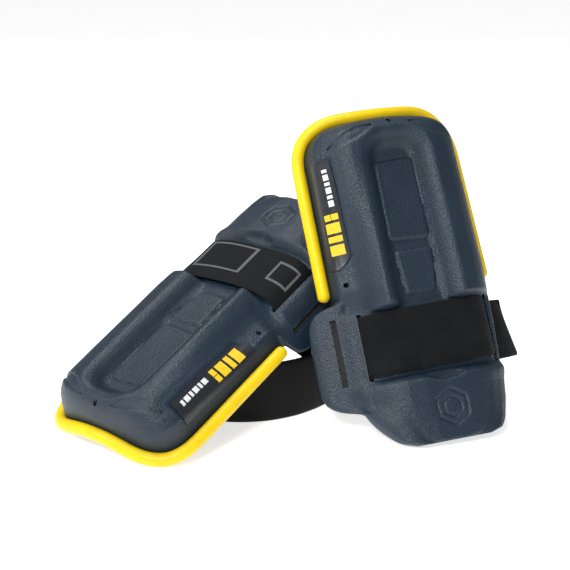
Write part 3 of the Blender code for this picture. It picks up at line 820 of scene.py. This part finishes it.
def lying_loop():
    """The lying pad's strap stands on its edge as a ring on the floor, under the pad."""
    to_pad = pad_matrix("lying").inverted() @ Matrix.Scale(MM, 4) @ Matrix.Translation(Vector(LAYOUT_SHIFT))
    to_layout = to_pad.inverted()
    turn_back = to_pad.to_3x3().normalized()
    height = FLOOR + STRAP_WIDTH / 2
    up = Vector((0, 0, 1))
    flat = turn_back.inverted() @ Vector((0, 1, 0))
    made = [(to_layout @ Vector((SLOT_X, STRAP_CENTRE_Y, z)), flat) for z in LYING_SLOT_HEIGHTS]
    for k, drop in enumerate(RING_RIGHT_DROP):
        made.append((Vector(drop), unit_mix(flat, up, (k + 1) / (len(RING_RIGHT_DROP) + 1))))
    for turn, radius in RING_TURNS:
        angle = math.radians(turn)
        reach = Vector((math.cos(angle), math.sin(angle), 0)) * radius
        made.append((Vector((*RING_CENTRE, height)) + reach, up))
    for k, drop in enumerate(RING_LEFT_DROP):
        made.append((Vector(drop), unit_mix(up, flat, (k + 1) / (len(RING_LEFT_DROP) + 1))))
    made += [(to_layout @ Vector((-SLOT_X, STRAP_CENTRE_Y, z)), flat)
             for z in reversed(LYING_SLOT_HEIGHTS)]
    return [(to_pad @ centre, turn_back @ way) for centre, way in made]


def straps(kind, looks):
    loop = standing_loop() if kind == "standing" else lying_loop()
    stretch = STANDING_TAB if kind == "standing" else LYING_TAB
    steps = LOOP_STEPS * STATION_STEPS
    span = (stretch[0] * STATION_STEPS, stretch[1] * STATION_STEPS)
    front = band("front_band_" + kind, front_stations(), STRAP_WIDTH, STRAP_THICKNESS, 12, ripple=0.25)
    finish_piece(front, kind, looks["front_" + kind], "front_strap_" + kind)
    leg = band("leg_band_" + kind, loop, STRAP_WIDTH, STRAP_THICKNESS, steps)
    finish_piece(leg, kind, looks["leg_" + kind], "leg_strap_" + kind)
    level = STRAP_THICKNESS / 2
    for name, thickness, look, body, slot in (
            ("loop_patch_", PATCH_THICKNESS, "pile", "pad", "hook_and_loop"),
            ("hook_patch_", PATCH_THICKNESS, "hooks", "tab", "hook_and_loop"),
            ("strap_tab_", TAB_THICKNESS, "leg_" + kind, "tab", "elastic")):
        level += GAP + thickness / 2
        piece = band(name.replace("strap_tab", "pull_tab") + "band_" + kind, loop, TAB_WIDTH, thickness,
                     steps, level, 18, span)
        finish_piece(piece, kind, looks[look], name + kind, body)
        level += thickness / 2


# ---------------------------------------------------------------- cushions

def swell(obj, pad_up):
    """Blows a cushion up a little as cloth, and keeps the result."""
    start = np.zeros(len(obj.data.vertices) * 3)
    obj.data.vertices.foreach_get("co", start)
    start = start.reshape(-1, 3)
    cloth = obj.modifiers.new("cloth", "CLOTH")
    cloth.settings.use_pressure = True
    cloth.settings.uniform_pressure_force = PRESSURE
    cloth.settings.effector_weights.gravity = 0.0
    cloth.point_cache.frame_start = 1
    cloth.point_cache.frame_end = CLOTH_STEPS
    scene = bpy.context.scene
    for step in range(1, CLOTH_STEPS + 1):
        scene.frame_set(step)
    graph = bpy.context.evaluated_depsgraph_get()
    moved = obj.evaluated_get(graph).to_mesh()
    end = np.zeros(len(start) * 3)
    moved.vertices.foreach_get("co", end)
    end = end.reshape(-1, 3)
    obj.evaluated_get(graph).to_mesh_clear()
    obj.modifiers.clear()
    scene.frame_set(1)
    move = end - start
    up = np.array(pad_up)
    rise = move @ up
    move -= np.outer(np.clip(rise - MOST_RISE, 0, None), up)
    size = np.linalg.norm(move, axis=1, keepdims=True)
    move *= np.minimum(1, MOST_MOVE / np.maximum(size, 1e-9))
    obj.data.vertices.foreach_set("co", (start + move).ravel())
    obj.data.update()


def cushion(kind, part, material):
    """A soft inlay in the hollow: the solid's shape, blown up, then stitched across."""
    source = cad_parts[part + "_cushion_" + kind]
    obj = linked("soft_" + part + "_inlay_" + kind, source.data.copy())
    face_outward(obj, 0.00005)
    remesh = obj.modifiers.new("remesh", "REMESH")
    remesh.mode = "VOXEL"
    remesh.voxel_size = VOXEL
    apply_modifiers(obj)
    matrix = pad_matrix(kind)
    up = (matrix.to_3x3() @ Vector((0, 0, 1))).normalized()
    swell(obj, up)
    smooth = obj.modifiers.new("even", "SMOOTH")
    smooth.iterations = 3
    smooth.factor = 0.5
    finer = obj.modifiers.new("finer", "SUBSURF")
    finer.levels = 1
    finer.render_levels = 1
    apply_modifiers(obj)
    inverse = matrix.inverted()
    normals = np.array([vertex.normal[:] for vertex in obj.data.vertices])
    spots = np.array([(inverse @ vertex.co)[:] for vertex in obj.data.vertices])
    depth = np.zeros(len(spots))
    for seam in SEAMS[part]:
        depth += SEAM_DEPTH * np.exp(-((spots[:, 1] - seam) / SEAM_HALF) ** 2)
    middle = np.exp(-((spots[:, 0]) / SEAM_HALF) ** 2)
    depth = np.maximum(depth, MIDDLE_SEAM_DEPTH * middle)
    back_side = np.clip(-(normals @ np.array(up)), 0, 1)
    coords = np.array([vertex.co[:] for vertex in obj.data.vertices])
    coords -= normals * (depth * back_side)[:, None] * MM
    obj.data.vertices.foreach_set("co", coords.ravel())
    obj.data.update()
    shade(obj, 75)
    obj.data.materials.clear()
    obj.data.materials.append(material)
    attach(obj, kind + "_pad")
    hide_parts(part + "_cushion_" + kind)


# ---------------------------------------------------------------- materials

class Look:
    """A material under construction, with short ways to add nodes."""

    def __init__(self, name, colour, roughness):
        self.material = bpy.data.materials.new(name)
        self.material.use_nodes = True
        self.tree = self.material.node_tree
        self.shader = self.tree.nodes["Principled BSDF"]
        self.shader.inputs["Base Color"].default_value = (*colour, 1)
        self.shader.inputs["Roughness"].default_value = roughness
        self.coords = self.tree.nodes.new("ShaderNodeTexCoord")

    def node(self, kind, **settings):
        made = self.tree.nodes.new(kind)
        for name, value in settings.items():
            setattr(made, name, value)
        return made

    def link(self, output, target):
        self.tree.links.new(output, target)

    def number(self, operation, one, other=0.0):
        made = self.node("ShaderNodeMath", operation=operation)
        for socket, value in zip(made.inputs, (one, other)):
            if isinstance(value, (int, float)):
                socket.default_value = value
            else:
                self.link(value, socket)
        return made.outputs[0]

    def noise(self, scale, detail=3.0, roughness=0.55):
        made = self.node("ShaderNodeTexNoise")
        made.inputs["Scale"].default_value = scale
        made.inputs["Detail"].default_value = detail
        made.inputs["Roughness"].default_value = roughness
        self.link(self.coords.outputs["Object"], made.inputs["Vector"])
        return made.outputs["Fac"]

    def cells(self, scale, feature="SMOOTH_F1"):
        made = self.node("ShaderNodeTexVoronoi", feature=feature)
        made.inputs["Scale"].default_value = scale
        self.link(self.coords.outputs["Object"], made.inputs["Vector"])
        return made.outputs["Distance"]

    def ramp(self, value, stops):
        """A colour ramp: stops are (place, colour)."""
        made = self.node("ShaderNodeValToRGB")
        for k, (place, colour) in enumerate(stops):
            stop = made.color_ramp.elements[k] if k < 2 else made.color_ramp.elements.new(place)
            stop.position = place
            stop.color = (*colour, 1)
        self.link(value, made.inputs["Fac"])
        return made.outputs["Color"]

    def blend(self, share, one, other):
        made = self.node("ShaderNodeMix", data_type="RGBA")
        for socket, value in ((made.inputs[0], share), (made.inputs[6], one), (made.inputs[7], other)):
            if isinstance(value, (int, float)):
                socket.default_value = value
            elif isinstance(value, tuple):
                socket.default_value = (*value, 1)
            else:
                self.link(value, socket)
        return made.outputs[2]

    def spread(self, value, low, high):
        made = self.node("ShaderNodeMapRange")
        self.link(value, made.inputs["Value"])
        made.inputs["To Min"].default_value = low
        made.inputs["To Max"].default_value = high
        return made.outputs["Result"]

    def bump(self, height, strength, distance, below=None):
        made = self.node("ShaderNodeBump")
        made.inputs["Strength"].default_value = strength
        made.inputs["Distance"].default_value = distance
        self.link(height, made.inputs["Height"])
        if below is not None:
            self.link(below, made.inputs["Normal"])
        return made.outputs["Normal"]

    def colour(self, output):
        self.link(output, self.shader.inputs["Base Color"])

    def rough(self, output):
        self.link(output, self.shader.inputs["Roughness"])

    def normal(self, output):
        self.link(output, self.shader.inputs["Normal"])

    def set(self, **values):
        for name, value in values.items():
            self.shader.inputs[name.replace("_", " ")].default_value = value


def foam_look(name):
    look = Look(name, (0.02, 0.033, 0.05), 0.45)
    broad = look.noise(22, 4, 0.6)
    fine = look.noise(900, 2, 0.5)
    grain = look.cells(900)
    pits = look.cells(1700)
    creases = look.noise(420, 5, 0.65)
    base = look.ramp(broad, [(0.3, (0.005, 0.0145, 0.028)), (0.7, (0.009, 0.0225, 0.0395))])
    ridges = look.ramp(look.node("ShaderNodeNewGeometry").outputs["Pointiness"],
                       [(0.505, (0, 0, 0)), (0.56, (1, 1, 1))])
    rubbed = look.number("MULTIPLY", ridges, look.ramp(creases, [(0.4, (0, 0, 0)), (0.62, (1, 1, 1))]))
    scuff = look.ramp(look.noise(120, 6, 0.75), [(0.6, (0, 0, 0)), (0.78, (1, 1, 1))])
    scuffed = look.number("MAXIMUM", look.number("MULTIPLY", scuff, 0.22),
                          look.number("MULTIPLY", rubbed, 0.6))
    worn = look.blend(scuffed, base, (0.065, 0.105, 0.135))
    speckled = look.blend(look.number("MULTIPLY", fine, 0.4), worn, (0.003, 0.007, 0.012))
    look.colour(look.blend(look.number("MULTIPLY", grain, 0.4), speckled, (0.015, 0.032, 0.052)))
    look.rough(look.spread(look.noise(60, 5, 0.7), 0.34, 0.52))
    lower = look.bump(creases, 0.15, 0.00015)
    middle = look.bump(pits, 0.5, 0.0002, lower)
    look.normal(look.bump(grain, 1.0, 0.0004, middle))
    look.set(Specular_IOR_Level=0.4)
    return look.material


def bead_look(name):
    look = Look(name, (0.76, 0.53, 0.002), 0.42)
    stain = look.ramp(look.noise(70, 5, 0.7), [(0.35, (0.78, 0.55, 0.002)), (0.75, (0.7, 0.47, 0.003))])
    dirt = look.ramp(look.noise(260, 6, 0.8), [(0.66, (0, 0, 0)), (0.8, (1, 1, 1))])
    look.colour(look.blend(look.number("MULTIPLY", dirt, 0.25), stain, (0.45, 0.3, 0.02)))
    look.rough(look.spread(look.noise(90, 4), 0.3, 0.5))
    lower = look.bump(look.noise(160, 4, 0.6), 0.25, 0.0005)
    look.normal(look.bump(look.noise(1400, 2, 0.5), 0.12, 0.0001, lower))
    look.set(Specular_IOR_Level=0.3)
    return look.material


def label_look(name, dark, pale, roughness):
    look = Look(name, dark, roughness)
    look.colour(look.ramp(look.noise(300, 4, 0.6), [(0.35, dark), (0.7, pale)]))
    look.rough(look.spread(look.noise(180, 4), roughness - 0.06, roughness + 0.1))
    look.normal(look.bump(look.noise(1500, 3, 0.6), 0.15, 0.0001))
    return look.material


def weave_coords(look):
    split = look.node("ShaderNodeSeparateXYZ")
    look.link(look.coords.outputs["UV"], split.inputs["Vector"])
    return split.outputs["X"], split.outputs["Y"]


def elastic_look(name, dark, pale, rib_pitch, pick_pitch, blocks=False, frames=(), roughness=0.7, relief=0.5):
    """Woven elastic: ribs along the band, fine picks across it, and a pattern in the weave."""
    look = Look(name, dark, roughness)
    along, across = weave_coords(look)
    rib = look.number("SINE", look.number("MULTIPLY", across, 2 * math.pi / rib_pitch))
    pick = look.number("SINE", look.number("MULTIPLY", along, 2 * math.pi / pick_pitch))
    slip = look.number("SINE", look.number("MULTIPLY", across, math.pi / rib_pitch))
    weave = look.number("ADD", rib, look.number("MULTIPLY", look.number("MULTIPLY", pick, slip), 0.6))
    share = look.number("MULTIPLY_ADD", weave, 0.25)
    share.node.inputs[2].default_value = 0.5
    fuzz = look.noise(1300, 3, 0.7)
    colour = look.blend(look.number("MULTIPLY", share, fuzz), dark, pale)
    if blocks:
        brick = look.node("ShaderNodeTexBrick")
        brick.offset = 0.37
        brick.inputs["Scale"].default_value = 1.0
        brick.inputs["Brick Width"].default_value = 0.017
        brick.inputs["Row Height"].default_value = 0.0125
        brick.inputs["Mortar Size"].default_value = 0.0
        brick.inputs["Color1"].default_value = (0.35, 0.35, 0.35, 1)
        brick.inputs["Color2"].default_value = (1, 1, 1, 1)
        look.link(look.coords.outputs["UV"], brick.inputs["Vector"])
        shade_share = look.spread(brick.outputs["Color"], 0.65, 0.0)
        colour = look.blend(shade_share, colour, tuple(0.35 * value for value in dark))
    for (centre_u, centre_v, half_u, half_v, thick) in frames:
        du = look.number("DIVIDE", look.number("ABSOLUTE", look.number("SUBTRACT", along, centre_u)), half_u)
        dv = look.number("DIVIDE", look.number("ABSOLUTE", look.number("SUBTRACT", across, centre_v)), half_v)
        ring = look.number("ABSOLUTE", look.number("SUBTRACT", look.number("MAXIMUM", du, dv), 1.0))
        line = look.number("LESS_THAN", ring, thick)
        colour = look.blend(look.number("MULTIPLY", line, 0.8), colour, (0.13, 0.14, 0.15))
    look.colour(colour)
    lower = look.bump(weave, relief, 0.00035)
    look.normal(look.bump(fuzz, 0.35, 0.0002, lower))
    look.rough(look.spread(fuzz, roughness - 0.1, roughness + 0.15))
    look.set(Sheen_Weight=0.02, Sheen_Roughness=0.5, Specular_IOR_Level=0.12)
    return look.material


def pile_look(name, scale):
    look = Look(name, (0.01, 0.01, 0.011), 0.9)
    tufts = look.noise(scale, 5, 0.8)
    look.colour(look.ramp(tufts, [(0.3, (0.004, 0.004, 0.005)), (0.75, (0.03, 0.03, 0.033))]))
    look.rough(look.spread(tufts, 0.8, 0.98))
    look.normal(look.bump(tufts, 0.9, 0.0006))
    look.set(Sheen_Weight=0.4)
    return look.material


def cushion_look(name):
    look = Look(name, (0.02, 0.021, 0.024), 0.85)
    knit = look.cells(900, "F1")
    cloud = look.noise(45, 4, 0.6)
    base = look.ramp(cloud, [(0.3, (0.014, 0.015, 0.018)), (0.75, (0.028, 0.03, 0.034))])
    look.colour(look.blend(look.number("MULTIPLY", knit, 0.8), base, (0.006, 0.006, 0.008)))
    look.rough(look.spread(cloud, 0.75, 0.95))
    lower = look.bump(look.noise(260, 4, 0.6), 0.35, 0.0006)
    look.normal(look.bump(knit, 0.7, 0.0004, lower))
    look.set(Sheen_Weight=0.35, Sheen_Roughness=0.5)
    return look.material


# ---------------------------------------------------------------- the whole

def build_pads():
    looks = {
        "foam": foam_look("slate_foam"),
        "bead": bead_look("bright_bead"),
        "label": label_look("satin_label", (0.007, 0.009, 0.013), (0.012, 0.015, 0.02), 0.34),
        "bright": label_look("bright_print", (0.72, 0.49, 0.003), (0.68, 0.44, 0.004), 0.5),
        "pale": label_look("pale_print", (0.55, 0.56, 0.57), (0.7, 0.7, 0.7), 0.5),
        "front_standing": elastic_look("ribbed_elastic", (0.002, 0.0024, 0.003), (0.016, 0.018, 0.021),
                                       0.0021, 0.0009, blocks=True),
        "front_lying": elastic_look("printed_elastic", (0.0035, 0.0045, 0.006), (0.01, 0.0115, 0.0145),
                                    0.0011, 0.0008, relief=0.3,
                                    frames=((0.096, -0.0045, 0.0255, 0.0155, 0.06),
                                            (0.033, -0.0035, 0.0095, 0.0105, 0.11))),
        "leg_standing": elastic_look("ribbed_elastic_loop", (0.003, 0.0035, 0.0045), (0.022, 0.024, 0.029),
                                     0.0021, 0.0009, blocks=True),
        "leg_lying": elastic_look("plain_elastic_loop", (0.003, 0.0032, 0.0037), (0.007, 0.0075, 0.0085),
                                  0.0009, 0.0012, roughness=0.5, relief=0.25),
        "pile": pile_look("loop_pile", 1600),
        "hooks": pile_look("hook_tape", 2600),
        "cushion": cushion_look("knit_cushion"),
    }
    for kind in KINDS:
        surface = shell_surface(kind)
        lookup = Surface(surface)
        shell(kind, surface, looks["foam"])
        # A dark sheet in each ear's slot, as painted shade.
        slot_shade_sheet(kind, looks["pile"])
        rim_bead(kind, looks["bead"])
        label(kind, lookup, looks["label"], looks["bright"], looks["pale"])
        straps(kind, looks)
        cushion(kind, "knee", looks["cushion"])
        cushion(kind, "shin", looks["cushion"])


def floor_look():
    look = Look("studio_floor", (0.9, 0.9, 0.9), 0.9)
    look.colour(look.ramp(look.noise(6, 3), [(0.3, (0.9, 0.9, 0.9)), (0.7, (0.93, 0.93, 0.93))]))
    look.normal(look.bump(look.noise(300, 3), 0.02, 0.0005))
    look.set(Specular_IOR_Level=0.1, Emission_Color=(1, 1, 1, 1), Emission_Strength=0.67)
    return look.material


def stage():
    bpy.ops.mesh.primitive_plane_add(size=60)
    floor = bpy.context.object
    floor.name = "studio_floor"
    floor.location.z = -0.0003
    floor.data.materials.append(floor_look())


def area_light(name, place, aim, size, power, colour=(1, 1, 1)):
    light = bpy.data.lights.new(name, "AREA")
    light.shape = "DISK"
    light.size = size
    light.energy = power
    light.color = colour
    obj = linked(name, light)
    obj.location = place
    obj.rotation_euler = (Vector(aim) - Vector(place)).to_track_quat("-Z", "Y").to_euler()


def lights():
    world = bpy.data.worlds.new("studio")
    bpy.context.scene.world = world
    world.use_nodes = True
    background = world.node_tree.nodes["Background"]
    background.inputs["Color"].default_value = (1, 1, 1, 1)
    background.inputs["Strength"].default_value = 0.29
    area_light("overhead", (-0.3, 0.2, 1.5), (0, 0, 0.1), 0.8, 14)
    area_light("front_key", (-0.45, -1.6, 1.35), (0, 0, 0.12), 0.6, 30)
    area_light("left_fill", (-1.4, -0.3, 0.9), (0, 0, 0.12), 0.5, 7)


def colours():
    """Plain colours, without a film curve."""
    bpy.context.scene.view_settings.view_transform = "Standard"


def camera():
    data = bpy.data.cameras.new("camera")
    data.lens = CAMERA_LENS
    data.sensor_fit = "HORIZONTAL"
    data.sensor_width = 36.0
    obj = linked("camera", data)
    obj.location = CAMERA_PLACE
    obj.rotation_euler = (math.radians(CAMERA_PITCH), 0, 0)
    bpy.context.scene.camera = obj


build_pads()
stage()
lights()
colours()
camera()
